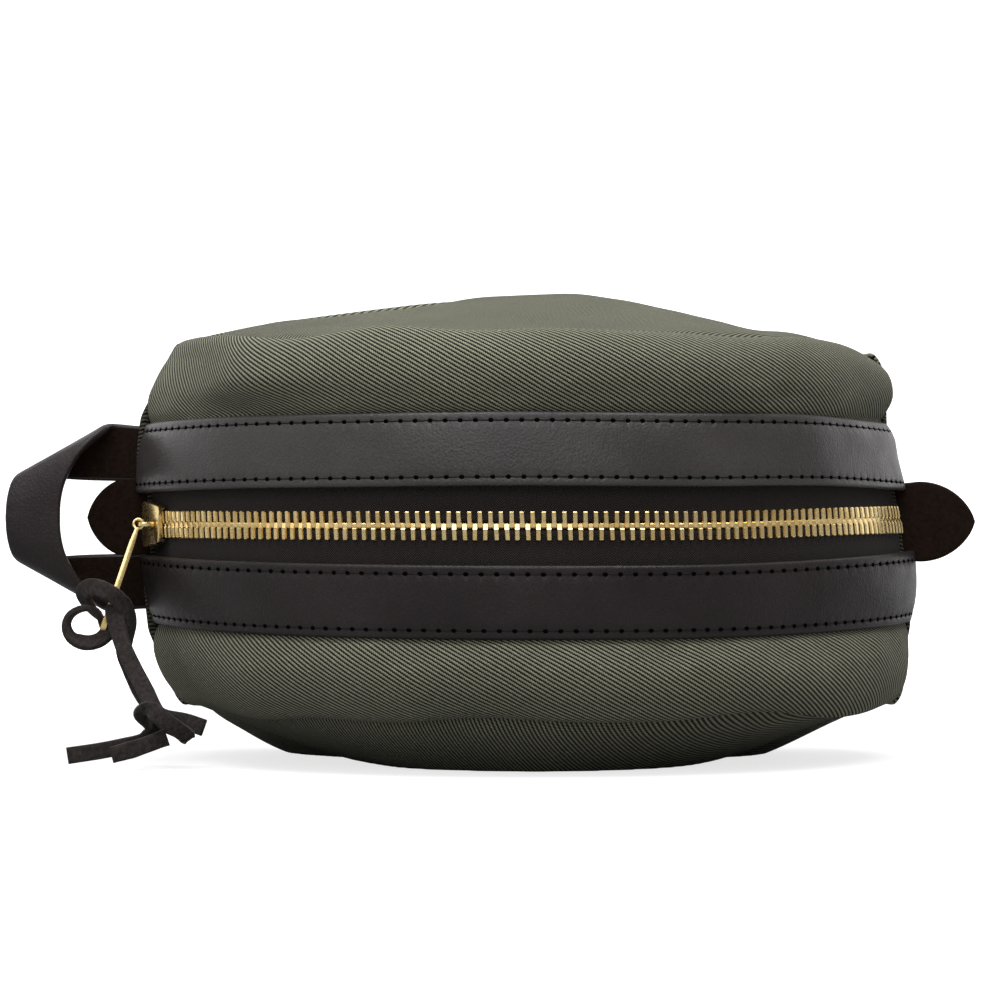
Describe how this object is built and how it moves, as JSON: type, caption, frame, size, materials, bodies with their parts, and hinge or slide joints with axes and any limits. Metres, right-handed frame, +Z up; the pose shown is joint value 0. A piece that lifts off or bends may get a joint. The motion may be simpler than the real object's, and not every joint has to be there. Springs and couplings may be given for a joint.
{
  "type": "shaving kit bag",
  "caption": "Twill wash bag with leather edge strips, a brass zip along its curved side, a leather side handle and a leather lace on the zip pull",
  "frame": {"origin": "on the flat resting face of the back panel, under the middle of the zip side's length", "axes": "+X along the bag towards the end of the zip away from the handle, +Y from the zip side to the bag's bottom, +Z up, out of the front panel"},
  "size_m": [0.3335, 0.1521, 0.1626],
  "materials": {
    "twill": "heavy olive cotton twill, waxed matt finish, diagonal ribs about 1.6 mm apart",
    "lining": "plain cotton lining and seam binding",
    "leather": "dark brown bridle leather, fine grain, soft sheen, two rows of stitching",
    "suede": "flesh side of dark brown leather",
    "lace": "dark rawhide lace, rough cut edges",
    "zip_tape": "dark brown herringbone zip tape",
    "brass": "polished cast and stamped brass"
  },
  "bodies": {
    "bag": {"back_panel": "twill", "front_panel_heel": "twill", "gusset_lower": "twill", "bottom_gusset": "twill", "end_seam_left": "twill", "end_seam_right": "twill", "back_binding": "lining", "front_binding_heel": "lining", "pocket_back": "lining", "strip_lower": "leather", "zip_tape_lower": "zip_tape", "zip_teeth_lower": "brass", "top_stop_lower": "brass", "top_stop_upper": "brass", "bottom_stop": "brass"},
    "mouth": {"front_panel": "twill", "gusset_upper": "twill", "front_binding": "lining", "pocket_front": "lining", "strip_upper": "leather", "zip_tape_upper": "zip_tape", "zip_teeth_upper": "brass"},
    "slider": {"slider_body": "brass", "slider_bail": "brass"},
    "pull": {"pull_tab": "brass"},
    "lace": {"lace_hitch": "lace", "lace_strand": "lace", "lace_knot": "lace", "lace_tail_long": "lace", "lace_tail_short": "lace"},
    "handle": {"handle_strap": "leather"},
    "tab_left": {"zip_tab_left": "suede"},
    "tab_right": {"zip_tab_right": "suede"}
  },
  "joints": [
    {"name": "mouth_open", "type": "hinge", "parent": "bag", "child": "mouth", "pos_m": [0, 0.0073, 0.1614], "axis": [-1, 0, 0], "range_deg": [0, 35], "deforming": ["zip_teeth_upper", "zip_tape_upper"]},
    {"name": "slider_travel", "type": "hinge", "parent": "bag", "child": "slider", "pos_m": [0, 0.049, 0.081], "axis": [0, 0, 1], "range_deg": [0, 133.6], "deforming": ["zip_teeth_lower", "zip_tape_lower"]},
    {"name": "pull_swing", "type": "hinge", "parent": "slider", "child": "pull", "pos_m": [-0.13217, -0.00765, 0.081], "axis": [-0.3939, 0.9191, 0], "range_deg": [0, 110]},
    {"name": "lace_swing", "type": "hinge", "parent": "pull", "child": "lace", "pos_m": [-0.1433, -0.01242, 0.04773], "axis": [0, 0, 1], "range_deg": [-35, 0]},
    {"name": "handle_flex", "type": "hinge", "parent": "bag", "child": "handle", "pos_m": [-0.1342, 0.0073, 0.0832], "axis": [0, 0, 1], "range_deg": [-30, 30], "stiffness_Nm_per_rad": 0.12},
    {"name": "tab_left_flex", "type": "hinge", "parent": "bag", "child": "tab_left", "pos_m": [-0.134, 0.0073, 0.0832], "axis": [0, 0, 1], "range_deg": [-25, 25], "stiffness_Nm_per_rad": 0.05},
    {"name": "tab_right_flex", "type": "hinge", "parent": "bag", "child": "tab_right", "pos_m": [0.134, 0.0073, 0.081], "axis": [0, 0, 1], "range_deg": [-25, 25], "stiffness_Nm_per_rad": 0.05}
  ],
  "couplings": [
    {"joint": "slider_travel", "follows": "mouth_open", "ratio": 3.815}
  ]
}
